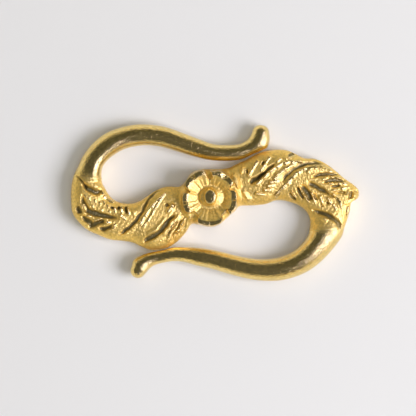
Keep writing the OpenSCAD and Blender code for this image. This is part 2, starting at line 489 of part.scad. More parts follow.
last = len(STATIONS) - 1;
tip_turn = 78;
tip_rings = tip_steps * finer;
function sections() = [
    for (k = [tip_rings:-1:1])
        tip_section(STATIONS[0], -way_of(STATIONS[0]), tip_turn * k / tip_rings),
    for (i = [0:last - 1])
        let (rings = STATIONS[i][9] * finer)
        for (k = [0:rings - 1])
            smooth(row(STATIONS, i - 1), STATIONS[i], STATIONS[i + 1], row(STATIONS, i + 2), k / rings),
    STATIONS[last],
    for (k = [1:tip_rings])
        tip_section(STATIONS[last], way_of(STATIONS[last]), tip_turn * k / tip_rings)
];

// The whole clasp: hooks, leaves and flower in one skin
module s_hook() {
    rings = [for (s = sections()) section_points(s)];
    sides = len(rings[0]);
    points = [for (ring = rings) for (p = ring) p];
    walls = [
        for (r = [0:len(rings) - 2])
            for (i = [0:sides - 1])
                let (
                    a = r * sides + i,
                    b = r * sides + (i + 1) % sides,
                    c = b + sides,
                    d = a + sides
                )
                each [[a, c, b], [a, d, c]]
    ];
    ends = [
        [for (i = [0:sides - 1]) i],
        [for (i = [sides - 1:-1:0]) (len(rings) - 1) * sides + i]
    ];
    color("goldenrod")
        scale(grow)
            polyhedron(points, concat(walls, ends), convexity = 12);
}

s_hook();
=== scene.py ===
# The looks of an S-hook clasp: one gold-plated casting with leaves and a flower in relief.
# The casting is swept again through the same sections as the solid, with a much finer skin.
import math

import bpy
import numpy as np
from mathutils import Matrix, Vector


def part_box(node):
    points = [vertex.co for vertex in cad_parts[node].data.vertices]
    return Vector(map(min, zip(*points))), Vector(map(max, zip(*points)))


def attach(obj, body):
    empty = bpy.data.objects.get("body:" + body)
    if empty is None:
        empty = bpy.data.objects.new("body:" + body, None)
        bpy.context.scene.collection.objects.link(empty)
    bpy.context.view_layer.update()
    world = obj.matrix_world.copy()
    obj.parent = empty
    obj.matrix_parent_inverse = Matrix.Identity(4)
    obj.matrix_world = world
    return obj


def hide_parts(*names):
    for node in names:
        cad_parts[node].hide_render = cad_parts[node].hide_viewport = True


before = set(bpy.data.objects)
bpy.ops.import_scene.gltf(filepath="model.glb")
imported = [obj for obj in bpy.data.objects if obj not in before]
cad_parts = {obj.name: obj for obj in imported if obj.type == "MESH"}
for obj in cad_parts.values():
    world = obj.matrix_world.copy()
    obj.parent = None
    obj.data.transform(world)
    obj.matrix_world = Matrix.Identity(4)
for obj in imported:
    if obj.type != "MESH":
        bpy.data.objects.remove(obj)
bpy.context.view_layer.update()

# The tables are drawn in millimetres on a clasp DRAWN_LEN long, with the origin at the middle of
# its underside, +X to the right and +Y up in the photograph.
DRAWN_LEN = 28.82
LOW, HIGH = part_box("s_hook")
METRES = (HIGH.x - LOW.x) / DRAWN_LEN

# The flower: its centre, and its petals. Columns: direction and half-width in degrees, radius, and
# the width in degrees of the notch in the rim.
FLOWER_AT = np.array([-0.50, 0.42])
PETALS = np.array([
    [-3, 29, 2.70, 1.0],
    [56, 30, 2.92, 5.0],
    [128, 33, 2.98, 2.8],
    [190, 29, 2.80, 2.8],
    [270, 36, 2.80, 0.1],
])
# Radius of the gaps between the petals
GAP_R = 2.00
# Height of the petals' inner ends over the bar's face, and of the rim of a petal that is
# FULL_PETAL long from the radius INNER_R. A shorter petal rises less.
CUP_H = 0.20
RIM_H = 0.85
INNER_R = 1.20
FULL_PETAL = 1.55
# Width of the flat rims, rise of a petal's sides and depth of its notch
RIM_WIDTH = 0.48
SIDE_H = 0.14
NOTCH_DEPTH = 0.22
# Fine folds that fan out over the petals. Columns: how many go round the flower, and their share
# of FOLD_H.
FOLD_H = 0.019
FOLDS = [
    [28, 1],
    [17, 1],
    [47, 0.6],
]
# The oval dome in the middle and the button on it
DOME_AT = np.array([-0.45, 0.62])
DOME_R = np.array([1.20, 1.00])
DOME_H = 0.30
BUTTON_R = np.array([0.66, 0.86])
BUTTON_H = 0.34
# Small flat sepals between the petals. Columns: direction and half-width in degrees, inner and
# outer radius.
SEPALS = np.array([
    [82, 8, 1.95, 2.75],
    [-33, 9, 1.95, 2.65],
])
SEPAL_H = 0.93
# The disc under the petals
DISC_R = 2.72
DISC_H = 0.30
DISC_SLOPE = 0.42

# Sections from the tip of the upper hook to the tip of the lower one. Columns: x and y of the
# edge on the right of the way, x and y of the edge on its left, z of the back, z of the widest
# level, z of the face, squareness (2 is round and plain, more is boxier and carved), place of the
# highest line from -1 at the left edge to 1 at the right, rings to the next section.
STATIONS = np.array([
    # upper hook: bulb, neck, thin run and left bend
    [3.73, 7.12, 5.41, 7.05, 0.45, 1.25, 2.05, 2, 0, 2],
    [3.50, 6.67, 5.47, 6.35, 0.38, 1.25, 2.12, 2, 0, 2],
    [3.22, 6.32, 5.24, 5.60, 0.38, 1.25, 2.12, 2, 0, 2],
    [2.90, 6.12, 4.62, 5.22, 0.42, 1.25, 2.08, 2, 0, 2],
    [2.53, 5.92, 3.86, 4.92, 0.48, 1.25, 2.02, 2, 0, 1],
    [2.08, 5.84, 2.65, 4.37, 0.50, 1.25, 2.00, 2, 0, 1],
    [1.08, 5.80, 1.20, 4.20, 0.48, 1.25, 2.02, 2, 0, 1],
    [-0.13, 5.88, -0.48, 4.28, 0.45, 1.25, 2.05, 2, 0, 1],
    [-1.50, 6.35, -2.15, 4.65, 0.38, 1.25, 2.12, 2, 0, 1],
    [-3.22, 7.00, -3.84, 5.18, 0.32, 1.25, 2.18, 2, 0, 1],
    [-4.95, 7.60, -5.44, 5.63, 0.30, 1.25, 2.20, 2, 0, 1],
    [-6.59, 7.84, -6.71, 5.77, 0.27, 1.25, 2.23, 2, 0, 2],
    [-8.10, 7.83, -7.89, 5.68, 0.24, 1.25, 2.26, 2, 0, 2],
    [-9.60, 7.50, -9.08, 5.37, 0.20, 1.25, 2.30, 2, -0.05, 2],
    [-11.02, 6.92, -10.10, 4.80, 0.17, 1.25, 2.33, 2, -0.10, 2],
    [-12.25, 5.93, -10.84, 4.17, 0.20, 1.25, 2.28, 2, -0.15, 2],
    [-13.20, 4.72, -11.25, 3.56, 0.15, 1.22, 2.28, 2, -0.20, 2],
    [-13.73, 3.59, -11.36, 2.89, 0.05, 1.15, 2.30, 2, -0.22, 2],
    # outer leaf round the left bend
    [-14.10, 2.83, -11.33, 2.44, 0.00, 1.10, 2.36, 2.2, -0.20, 3],
    [-14.30, 2.10, -11.27, 1.95, 0.00, 1.05, 2.42, 2.35, -0.10, 3],
    [-14.40, 1.20, -11.02, 1.50, 0.00, 1.00, 2.45, 2.4, 0, 4],
    [-14.40, 0.20, -10.67, 0.90, 0.00, 0.95, 2.45, 2.4, 0, 4],
    [-14.30, -0.89, -10.30, 0.45, 0.00, 0.90, 2.45, 2.4, 0, 4],
    [-13.72, -1.81, -9.80, 0.15, 0.00, 0.90, 2.45, 3, 0, 4],
    [-12.77, -2.69, -9.20, -0.02, 0.00, 0.90, 2.45, 3, 0, 3],
    [-11.62, -3.22, -8.60, -0.05, 0.00, 0.90, 2.45, 3, 0, 3],
    [-10.47, -3.67, -8.00, 0.02, 0.00, 0.90, 2.45, 3, 0, 3],
    [-9.33, -3.78, -7.40, 0.27, 0.00, 0.90, 2.45, 3, 0, 3],
    [-8.35, -3.93, -6.75, 0.70, 0.00, 0.90, 2.45, 2.4, 0, 3],
    # inner leaf on the left
    [-7.44, -4.34, -6.00, 1.20, 0.00, 0.90, 2.45, 2.4, 0, 3],
    [-6.51, -4.69, -5.20, 1.57, 0.00, 0.90, 2.45, 2.4, 0, 3],
    [-5.50, -4.66, -4.40, 1.66, 0.00, 0.90, 2.40, 2.4, 0, 3],
    [-4.50, -4.36, -3.55, 1.66, 0.00, 0.90, 2.32, 2.4, 0, 3],
    [-3.65, -3.75, -3.00, 2.15, 0.00, 0.90, 2.25, 2.4, 0, 3],
    [-2.90, -2.93, -2.50, 2.87, 0.00, 0.90, 2.25, 2.7, 0, 3],
    # flower
    [-2.35, -2.12, -1.90, 3.22, 0.00, 0.90, 2.25, 3, 0, 3],
    [-1.70, -2.16, -1.25, 3.37, 0.00, 0.90, 2.25, 3, 0, 3],
    [-0.95, -2.36, -0.65, 3.40, 0.00, 0.90, 2.25, 3, 0, 3],
    [-0.20, -2.40, 0.00, 3.40, 0.00, 0.90, 2.25, 3, 0, 3],
    [0.50, -2.14, 0.70, 3.41, 0.00, 0.90, 2.25, 3, 0, 3],
    [1.20, -1.50, 1.46, 3.55, 0.00, 0.90, 2.25, 3, 0, 3],
    [1.90, -0.90, 2.27, 3.96, 0.00, 0.90, 2.25, 2.7, 0, 3],
    # inner leaf on the right
    [2.45, -0.33, 2.91, 4.23, 0.00, 0.90, 2.25, 2.4, 0, 3],
    [3.25, -0.26, 3.66, 4.63, 0.00, 0.90, 2.32, 2.4, 0, 3],
    [4.20, -0.22, 4.45, 5.02, 0.00, 0.90, 2.40, 2.4, 0, 3],
    [5.10, -0.10, 5.35, 5.25, 0.00, 0.90, 2.45, 2.4, 0, 3],
    [6.00, 0.24, 6.30, 5.35, 0.00, 0.90, 2.45, 2.4, 0, 3],
    [6.90, 0.24, 7.20, 5.28, 0.00, 0.90, 2.45, 2.4, 0, 3],
    [7.70, 0.03, 8.05, 4.92, 0.00, 0.90, 2.45, 2.4, 0, 3],
    # outer leaf round the right bend, with its point
    [8.25, -0.20, 8.90, 4.50, 0.00, 0.90, 2.45, 3, 0, 3],
    [8.65, -0.42, 9.90, 4.43, 0.00, 0.90, 2.45, 3, 0, 3],
    [8.95, -0.67, 10.90, 4.05, 0.00, 0.90, 2.45, 3, 0, 4],
    [9.18, -0.93, 11.90, 3.35, 0.00, 0.90, 2.45, 3, 0, 4],
    [9.34, -1.20, 12.90, 2.50, 0.00, 0.90, 2.45, 3, 0, 4],
    [9.44, -1.45, 14.00, 1.72, 0.00, 0.92, 2.45, 3, 0, 3],
    [9.48, -1.65, 14.39, 1.12, 0.00, 0.95, 2.45, 3, 0, 3],
    [9.50, -1.82, 14.28, 0.50, 0.00, 0.98, 2.47, 3, 0, 3],
    [9.51, -1.98, 13.66, 0.08, 0.00, 1.03, 2.49, 3, 0, 3],
    [9.50, -2.18, 13.48, -0.80, 0.00, 1.10, 2.53, 2.4, 0, 3],
    [9.46, -2.46, 13.20, -1.70, 0.00, 1.22, 2.62, 2.35, 0.03, 3],
    # lower hook: right bend, thin run and curled tip
    [9.40, -2.85, 12.90, -2.60, 0.00, 1.35, 2.75, 2.2, 0.10, 2],
    [9.33, -3.10, 12.65, -3.40, 0.00, 1.40, 2.80, 2, 0.15, 2],
    [8.98, -3.70, 11.75, -4.63, 0.00, 1.40, 2.80, 2, 0.15, 2],
    [8.45, -4.30, 10.60, -5.85, 0.07, 1.40, 2.73, 2, 0.12, 2],
    [7.80, -4.82, 9.35, -6.78, 0.15, 1.40, 2.65, 2, 0.06, 2],
    [7.05, -5.20, 8.00, -7.38, 0.21, 1.40, 2.59, 2, 0, 2],
    [6.15, -5.48, 6.65, -7.72, 0.25, 1.40, 2.55, 2, 0, 2],
    [5.15, -5.60, 5.25, -7.80, 0.30, 1.40, 2.50, 2, 0, 1],
    [4.00, -5.58, 3.80, -7.66, 0.35, 1.40, 2.45, 2, 0, 1],
    [2.80, -5.40, 2.45, -7.38, 0.39, 1.40, 2.41, 2, 0, 1],
    [1.50, -5.10, 1.05, -6.99, 0.42, 1.40, 2.38, 2, 0, 1],
    [0.10, -4.76, -0.40, -6.55, 0.46, 1.40, 2.34, 2, 0, 1],
    [-1.30, -4.52, -1.80, -6.25, 0.52, 1.40, 2.28, 2, 0, 1],
    [-2.70, -4.41, -3.05, -5.90, 0.62, 1.40, 2.18, 2, 0, 1],
    [-4.10, -4.43, -4.10, -5.82, 0.70, 1.40, 2.10, 2, 0, 1],
    [-5.35, -4.73, -5.10, -5.95, 0.76, 1.38, 2.00, 2, 0, 2],
    [-6.50, -4.95, -6.00, -6.20, 0.70, 1.34, 1.98, 2, 0, 2],
    [-7.45, -5.24, -6.50, -6.53, 0.54, 1.30, 2.06, 2, 0, 2],
    [-8.15, -5.70, -6.82, -6.90, 0.46, 1.30, 2.14, 2, 0, 2],
    [-8.35, -6.35, -7.10, -7.20, 0.54, 1.30, 2.06, 2, 0, 1],
])
BACK, WAIST, FACE, SQUARE, LEAN, RINGS = 4, 5, 6, 7, 8, 9
# Squareness of a section that has the full depth of the carving
CARVED_SQUARE = 2.4
# Length of the rounded end past the first and the last section, and its rings
TIP_LEN = 0.72
TIP_RINGS = 10
# How much fuller the carved sections' backs are, to be cut flat where the clasp rests
FLAT_BACK = 0.4
# Width of the border in which the carving fades out, as a share of half a section
EDGE_FADE = 0.06

# How far the strokes' edges wander and how uneven the cast surface is, with their lengths of wave
HAND_DRIFT = 0.05
DRIFT_WAVE = 0.8
CAST_H = 0.014
CAST_WAVE = 0.27
# Depth of a groove that carries the full painted shade, and height of a ridge that is fully worn bright
FULL_GROOVE = 0.26
FULL_RIDGE = 0.15

# Strokes of the carving. Columns: widths of the flanks on the left and the right of the line's way,
# half-width of the flat between them, height (below zero for a groove), the points of the line.
LEFT_OUTER_LEAF = [
    # collar towards the upper hook, thin then thick, and the ridge beside it
    [0.12, 0.12, 0.05, -0.30, [[-13.9, 2.8], [-13.5, 2.4], [-13.1, 1.9], [-12.8, 1.5]]],
    [0.32, 0.28, 0.08, -0.36, [[-13.2, 1.95], [-12.85, 1.6], [-12.45, 1.27], [-11.9, 1.05],
                               [-11.25, 1.1]]],
    [0.20, 0.35, 0.08, 0.18, [[-12.1, 1.85], [-11.6, 1.65]]],
    # midrib
    [0.22, 0.22, 0.13, -0.34, [[-13.1, 0.9], [-13.15, 0.35], [-13.02, -0.23], [-12.75, -0.68],
                               [-12.23, -0.98], [-11.57, -1.15], [-10.9, -1.32], [-10.23, -1.42],
                               [-9.6, -1.6]]],
    # hollows below it, and a ridge between them
    [0.22, 0.20, 0.12, -0.30, [[-13.75, -0.3], [-13.4, -1.15]]],
    [0.24, 0.20, 0.12, -0.30, [[-13.3, -1.25], [-12.75, -1.75], [-12.2, -2.1]]],
    [0.24, 0.22, 0.12, -0.30, [[-12.65, -2.35], [-11.8, -2.05], [-10.95, -1.7]]],
    [0.24, 0.20, 0.10, -0.30, [[-11.55, -2.5], [-11.0, -2.58], [-10.1, -2.25]]],
    [0.26, 0.12, 0.03, 0.14, [[-13.32, -0.1], [-13.1, -0.6], [-13.0, -1.1]]],
    # hollows and a vein towards the inner leaf
    [0.10, 0.10, 0.10, -0.26, [[-10.25, -0.35], [-10.3, -0.65]]],
    [0.10, 0.10, 0.08, -0.26, [[-9.55, -0.35], [-9.6, -0.7]]],
    [0.10, 0.10, 0.10, -0.26, [[-8.85, -0.4], [-8.87, -1.05]]],
    [0.28, 0.12, 0.03, 0.13, [[-8.15, -0.8], [-8.0, -1.35]]],
]
LEFT_INNER_LEAF = [
    # groove towards the outer leaf
    [0.13, 0.16, 0.09, -0.32, [[-5.2, 1.30], [-6.1, 0.90], [-6.60, 0.40], [-7.02, -0.40], [-7.35, -1.05],
                               [-7.9, -1.75], [-8.6, -2.5], [-9.2, -2.95], [-9.6, -3.1]]],
    # boss and dimple by the flower
    [0.30, 0.20, 0.10, 0.12, [[-4.3, 0.05], [-4.3, -0.4], [-4.7, -1.0]]],
    [0.15, 0.15, 0.08, -0.30, [[-4.95, -0.3], [-4.65, -0.15]]],
    # midrib and the rib beside it
    [0.15, 0.15, 0.15, -0.36, [[-3.97, -1.14], [-4.52, -1.68], [-5.06, -2.4], [-5.7, -3.05],
                               [-6.7, -3.6], [-7.06, -4.0]]],
    [0.34, 0.14, 0.04, 0.16, [[-4.95, -1.45], [-5.4, -1.95], [-5.8, -2.45], [-6.4, -2.9], [-6.9, -3.05]]],
    # veins, and the grooves between them
    [0.34, 0.12, 0.03, 0.16, [[-3.55, -1.1], [-4.2, -1.85], [-4.75, -2.6], [-5.2, -3.2]]],
    [0.34, 0.12, 0.03, 0.16, [[-4.1, -2.55], [-4.5, -3.2], [-4.85, -3.85]]],
    [0.34, 0.12, 0.03, 0.16, [[-3.2, -1.75], [-3.7, -2.7], [-4.15, -3.5]]],
    [0.34, 0.12, 0.03, 0.16, [[-2.9, -1.45], [-3.25, -2.2], [-3.55, -2.95]]],
    [0.34, 0.12, 0.03, 0.16, [[-2.5, -1.35], [-2.8, -2.1], [-3.0, -2.8]]],
    [0.10, 0.12, 0.02, -0.16, [[-3.70, -1.75], [-4.4, -2.75], [-5.0, -3.5]]],
    [0.10, 0.12, 0.02, -0.16, [[-3.30, -1.65], [-3.8, -2.6], [-4.3, -3.4]]],
    [0.10, 0.12, 0.02, -0.14, [[-2.95, -1.80], [-3.3, -2.6], [-3.65, -3.2]]],
]
RIGHT_INNER_LEAF = [
    # midrib, thick then thin
    [0.22, 0.18, 0.10, -0.34, [[3.45, 1.9], [3.8, 2.2], [4.3, 2.5], [4.75, 2.8], [5.1, 3.1]]],
    [0.15, 0.13, 0.05, -0.30, [[4.1, 2.35], [4.74, 2.85], [5.3, 3.32], [6.0, 3.85]]],
    # veins on the upper side
    [0.30, 0.12, 0.03, 0.13, [[2.96, 3.57], [2.65, 3.12]]],
    [0.30, 0.12, 0.04, 0.14, [[7.2, 4.55], [7.0, 4.44]]],
    # dimples
    [0.10, 0.10, 0.06, -0.28, [[3.23, 3.4], [3.15, 2.95]]],
    [0.10, 0.10, 0.06, -0.28, [[4.85, 4.2], [4.7, 3.75]]],
    [0.22, 0.22, 0.12, -0.28, [[7.85, 5.0], [7.6, 4.8], [7.35, 4.6]]],
    [0.08, 0.08, 0.06, -0.20, [[4.72, 1.72], [4.8, 1.65]]],
    # ridges by the flower
    [0.32, 0.15, 0.05, 0.17, [[2.65, 1.25], [2.95, 0.85], [3.25, 0.45], [3.7, 0.0]]],
    [0.40, 0.12, 0.08, 0.40, [[1.65, 2.90], [2.05, 2.30], [2.30, 1.40]]],
    [0.12, 0.12, 0.03, 0.20, [[2.75, 3.60], [2.60, 2.90]]],
]
RIGHT_OUTER_LEAF = [
    # groove towards the inner leaf, and the low ridge inside it
    [0.26, 0.12, 0.08, -0.26, [[6.6, 2.1], [7.15, 2.7], [8.0, 3.38], [8.8, 3.8], [9.7, 3.95],
                               [10.9, 3.9]]],
    [0.20, 0.20, 0.05, 0.12, [[9.1, 3.0], [9.7, 3.35], [10.7, 3.4], [11.4, 3.15]]],
    # midrib, thick then thin
    [0.24, 0.22, 0.12, -0.30, [[9.2, 2.05], [9.9, 1.72], [10.5, 1.38], [11.2, 0.98]]],
    [0.10, 0.10, 0.05, -0.20, [[10.94, 1.12], [11.3, 0.94], [11.75, 0.66], [12.2, 0.4],
                               [12.48, 0.03]]],
    # grooves and ridges of the upper side, down to the point
    [0.16, 0.12, 0.10, -0.30, [[9.6, 2.6], [10.5, 2.78], [11.4, 2.86], [12.3, 2.8]]],
    [0.14, 0.12, 0.10, -0.30, [[10.8, 2.05], [11.5, 2.2], [12.2, 2.25], [13.0, 2.15]]],
    [0.13, 0.12, 0.07, -0.28, [[11.5, 1.62], [12.0, 1.68], [12.5, 1.68]]],
    [0.18, 0.18, 0.04, -0.19, [[12.1, 1.12], [12.5, 1.05], [12.95, 1.08]]],
    [0.12, 0.28, 0.03, 0.14, [[13.1, 0.95], [13.4, 1.12]]],
    [0.20, 0.18, 0.06, -0.24, [[13.62, 1.22], [13.55, 0.8], [13.42, 0.35]]],
    [0.14, 0.14, 0.05, -0.18, [[13.85, 1.3], [14.2, 1.05]]],
    [0.38, 0.15, 0.05, 0.18, [[14.1, 0.95], [13.8, 0.55]]],
    # hollows of the lower side
    [0.10, 0.10, 0.10, -0.24, [[7.4, 1.05], [7.7, 0.6], [8.1, 0.35]]],
    [0.18, 0.16, 0.06, -0.28, [[8.2, 1.65], [8.45, 1.0], [8.85, 0.45]]],
    [0.22, 0.22, 0.14, -0.30, [[8.6, 1.8], [9.1, 1.2], [9.4, 0.75], [9.5, 0.2]]],
    [0.10, 0.10, 0.06, -0.20, [[9.9, 0.95], [10.15, 0.3]]],
    [0.10, 0.10, 0.06, -0.20, [[10.5, 0.0], [10.7, -0.4]]],
    [0.10, 0.10, 0.08, -0.25, [[11.1, 0.15], [11.3, -0.1]]],
    # collar towards the lower hook, and the ridges beside it
    [0.22, 0.22, 0.12, -0.30, [[9.6, -0.65], [10.48, -0.97], [11.1, -1.15], [11.66, -1.52],
                               [12.2, -1.97], [12.45, -2.8]]],
    [0.38, 0.15, 0.08, 0.18, [[10.7, -1.5], [11.1, -1.95]]],
    [0.34, 0.10, 0.03, 0.16, [[12.55, -2.06], [12.57, -2.7]]],
]
STROKES = LEFT_OUTER_LEAF + LEFT_INNER_LEAF + RIGHT_INNER_LEAF + RIGHT_OUTER_LEAF
# Smooth steps between two points of a stroke's line, power of its taper towards both ends, and how
# much sooner its height is full than its width
LINE_STEPS = 5
TAPER_POWER = 0.75
HEIGHT_SOONER = 1.6

# Scales that overlap one another: small planes that start with a step. Columns: x and y of the
# step's middle, direction of the scale, its length and half-width, direction of its fall and slope.
SCALES = [
    # inner edge of the left outer leaf
    [-11.45, 1.15, -50, 0.60, 0.17, -117, 0.46],
    [-11.05, 0.68, -48, 0.60, 0.17, -125, 0.62],
    [-10.62, 0.28, -28, 0.55, 0.14, -106, 0.95],
    # its veins above the midrib
    [-13.05, 0.78, -55, 0.40, 0.13, -10, 0.45],
    [-12.60, 0.60, -60, 0.40, 0.12, -15, 0.45],
    [-12.20, -0.20, -70, 0.35, 0.09, -15, 0.45],
    [-11.95, 0.35, -75, 0.40, 0.08, -15, 0.43],
    [-11.50, 0.10, -50, 0.35, 0.09, -15, 0.43],
    [-11.35, -0.65, -40, 0.35, 0.12, -15, 0.43],
    [-11.10, 0.25, -65, 0.45, 0.08, -20, 0.43],
    [-10.75, -0.15, -60, 0.40, 0.08, -20, 0.43],
    [-10.55, -0.75, -70, 0.30, 0.08, -20, 0.43],
    [-12.05, -0.60, -50, 0.30, 0.08, -15, 0.43],
    [-9.95, -0.45, -85, 0.60, 0.11, -34, 0.46],
    [-9.35, -0.35, -80, 0.75, 0.13, -45, 0.53],
    [-8.70, -0.50, -75, 0.80, 0.11, -30, 0.48],
    # and below the midrib
    [-9.40, -1.20, -38, 0.75, 0.15, -18, 0.44],
    [-12.75, -1.28, -5, 0.50, 0.09, -10, 0.45],
    [-12.00, -1.80, 12, 0.90, 0.11, -12, 0.45],
    [-10.80, -1.95, 5, 0.45, 0.14, -15, 0.43],
    [-10.30, -2.50, 35, 0.60, 0.15, -15, 0.43],
    # crest of the left inner leaf: two lines, and the boss by the flower
    [-7.45, -2.15, 58, 1.05, 0.17, -14, 0.43],
    [-6.92, -1.28, 52, 1.05, 0.18, -26, 0.48],
    [-6.30, -0.45, 47, 1.05, 0.18, -34, 0.55],
    [-5.62, 0.28, 42, 1.00, 0.17, -46, 0.64],
    [-7.20, -2.45, 50, 0.75, 0.11, -12, 0.43],
    [-6.72, -1.85, 56, 0.80, 0.12, -16, 0.43],
    [-6.30, -1.20, 61, 0.85, 0.12, -24, 0.45],
    [-5.88, -0.45, 58, 0.90, 0.12, -30, 0.50],
    [-5.42, 0.30, 50, 0.60, 0.10, -40, 0.56],
    [-4.75, -0.95, 45, 0.90, 0.20, -15, 0.43],
    [-4.35, -0.15, -35, 0.50, 0.16, -20, 0.43],
    # its veins below the midrib
    [-4.75, -3.30, 59, 0.90, 0.09, 12, 0.29],
    [-4.30, -2.50, 59, 0.90, 0.09, 12, 0.29],
    [-3.80, -3.05, 64, 0.90, 0.08, 20, 0.24],
    [-3.40, -2.25, 64, 0.90, 0.08, 20, 0.24],
    # veins on the upper side of the right inner leaf
    [4.25, 4.20, -121, 0.90, 0.13, -30, 0.70],
    [3.80, 3.40, -121, 0.85, 0.13, -28, 0.60],
    [5.50, 4.60, -122, 0.80, 0.14, -43, 0.73],
    [5.05, 3.85, -130, 0.90, 0.11, -40, 0.60],
    [6.60, 4.45, -140, 0.60, 0.10, -50, 0.70],
    [7.95, 4.75, -155, 0.70, 0.10, -60, 0.80],
    # its rib
    [4.15, 1.80, 45, 0.95, 0.15, -15, 0.45],
    [4.85, 2.48, 47, 0.95, 0.15, -15, 0.45],
    [5.50, 3.10, 40, 0.90, 0.15, -20, 0.45],
    [6.15, 3.58, 32, 0.90, 0.15, -32, 0.46],
    [6.90, 3.93, 18, 0.85, 0.15, -46, 0.49],
    [7.65, 4.08, 4, 0.75, 0.14, -56, 0.58],
    [8.30, 4.08, -4, 0.50, 0.12, -66, 0.74],
    # its fingers
    [4.10, 0.95, -12, 0.95, 0.12, -5, 0.45],
    [4.90, 1.27, 0, 0.95, 0.16, -12, 0.43],
    [5.25, 1.68, 2, 0.85, 0.16, -12, 0.43],
    [5.45, 2.06, 5, 1.00, 0.15, -12, 0.43],
    [5.85, 2.43, 8, 0.75, 0.15, -15, 0.43],
    [6.10, 2.76, 20, 0.80, 0.15, -15, 0.43],
    [6.50, 3.05, 28, 0.80, 0.15, -18, 0.43],
    [6.95, 3.34, 30, 0.80, 0.14, -18, 0.43],
    [7.40, 3.64, 25, 0.75, 0.12, -24, 0.43],
    # crest of the right outer leaf
    [6.05, 0.65, 45, 0.90, 0.17, -3, 0.47],
    [6.62, 1.25, 47, 0.90, 0.17, -10, 0.45],
    [7.20, 1.88, 48, 0.90, 0.17, -15, 0.45],
    [7.75, 2.50, 44, 0.80, 0.17, -20, 0.45],
    [8.30, 3.00, 30, 0.65, 0.17, -28, 0.47],
    [8.85, 3.32, 15, 0.60, 0.16, -38, 0.51],
    [9.40, 3.50, 10, 0.60, 0.16, -48, 0.55],
    [9.95, 3.62, 2, 0.60, 0.16, -56, 0.55],
    [10.50, 3.62, -8, 0.55, 0.16, -70, 0.58],
    [11.00, 3.50, -24, 0.50, 0.15, -88, 0.70],
    [11.40, 3.25, -35, 0.45, 0.14, -98, 0.85],
    # fan of its upper side
    [11.55, 2.55, -10, 0.55, 0.12, -68, 0.44],
    [12.05, 2.47, -10, 0.60, 0.12, -90, 0.58],
    [12.30, 1.93, 0, 0.50, 0.12, -65, 0.46],
    [12.75, 1.93, -3, 0.45, 0.12, -91, 0.72],
    [12.65, 1.42, 8, 0.90, 0.14, -70, 0.47],
    [13.10, 0.88, 40, 0.40, 0.12, -50, 0.36],
    [10.70, 2.35, -5, 0.50, 0.10, -40, 0.42],
    [11.30, 1.95, -8, 0.55, 0.10, -35, 0.42],
    [11.80, 1.30, -10, 0.50, 0.10, -30, 0.40],
    # fan of its lower side
    [7.60, 1.20, -53, 0.95, 0.07, -5, 0.45],
    [8.40, 1.60, -60, 1.00, 0.07, -5, 0.45],
    [8.90, 0.80, -58, 1.00, 0.07, -2, 0.50],
    [9.60, 1.10, -67, 1.30, 0.13, -4, 0.48],
    [10.50, 0.70, -70, 1.00, 0.12, -10, 0.45],
    [11.25, 0.55, -62, 0.85, 0.12, -15, 0.44],
    [11.80, -0.10, -63, 0.75, 0.11, -17, 0.44],
    [11.75, 0.90, -45, 0.80, 0.12, -17, 0.42],
    [12.30, 0.35, -62, 0.80, 0.13, -17, 0.40],
    [12.65, -0.35, -80, 0.70, 0.12, -8, 0.25],
    [12.72, -1.00, -90, 0.70, 0.10, -5, 0.15],
    [13.28, -0.35, -92, 0.95, 0.12, 168, 1.00],
]
# A scale's step is at least as high as that of one that falls this far
SHORTEST_FALL = 0.20

# Fineness of the skin: rings for each ring in the table, on the hooks and between the bar's two
# rows, and facets across face and back
HOOK_FINER = 5
BAR_FINER = 4
FIRST_BAR_ROW = 18
LAST_BAR_ROW = 59
FACE_STEPS = 96
BACK_STEPS = 16
# How often the relief is evened out with its neighbours, to find what stands proud of it, and the
# polish that wear gives there and on the strokes' ridges
BLUR_STEPS = 60
WORN_POLISH = 0.35
RIDGE_POLISH = 0.3

# The gold as it was cast and where it is polished, and the dark tint of the shade painted into the deep
# grooves
CAST_TINT = (1.0, 0.69, 0.17, 1)
POLISHED_TINT = (0.96, 0.72, 0.27, 1)
GROOVE_SHADE_TINT = (0.22, 0.18, 0.065, 1)
CAST_ROUGH = 0.36
POLISHED_ROUGH = 0.17
CAST_METALLIC = 0.74
# The fine grain: its bumps in each metre, and their height in metres
GRAIN_SCALE = 5500
CAST_GRAIN = 0.00008
POLISHED_GRAIN = 0.00005
# The mottle: its spots in each metre, the part of the noise that is used, and its darkest shade
MOTTLE_SCALE = 4000
MOTTLE_FROM, MOTTLE_TO = 0.38, 0.60
MOTTLE_SHADE = 0.80

# The paper under the clasp, and half its side in metres
PAPER_TINT = (0.81, 0.825, 0.84, 1)
PAPER_ROUGH = 0.9
PAPER_SHINE = 0.1
PAPER_HALF = 0.6

# The studio round the clasp. Columns: height, from 0 at the horizon to 1 overhead, and colour.
STUDIO = [
    [0.30, (0.90, 0.83, 0.70, 1)],
    [0.45, (0.095, 0.097, 0.085, 1)],
]
# Its lights. Columns: name, azimuth (0 is +X and 90 is +Y) and elevation in degrees, distance and
# size in metres, power, colour, and whether it only shows where a surface shines.
LIGHTS = [
    ["key_light", -15, 43, 0.45, 0.24, 1.85, (0.98, 0.95, 1), False],
    ["fill_light", 0, 90, 0.60, 0.50, 1.0, (1, 0.95, 0.88), False],
    ["key_on_gold", -15, 43, 0.45, 0.27, 3.3, (1, 0.99, 1.6), True],
]

# The photograph's width and the place of its middle, on the drawn clasp, and the camera's distance
# in metres
VIEW_WIDTH = 41.6
VIEW_X, VIEW_Y, VIEW_Z = -0.7, -0.5, 1.2
CAMERA_FAR = 0.40


def smooth(a, b, c, d, t):
    """The smooth curve from b to c between their neighbours a and d, at a share t of the way."""
    return b + 0.5 * t * (c - a + t * (2 * a - 5 * b + 4 * c - d + t * (3 * (b - c) + d - a)))


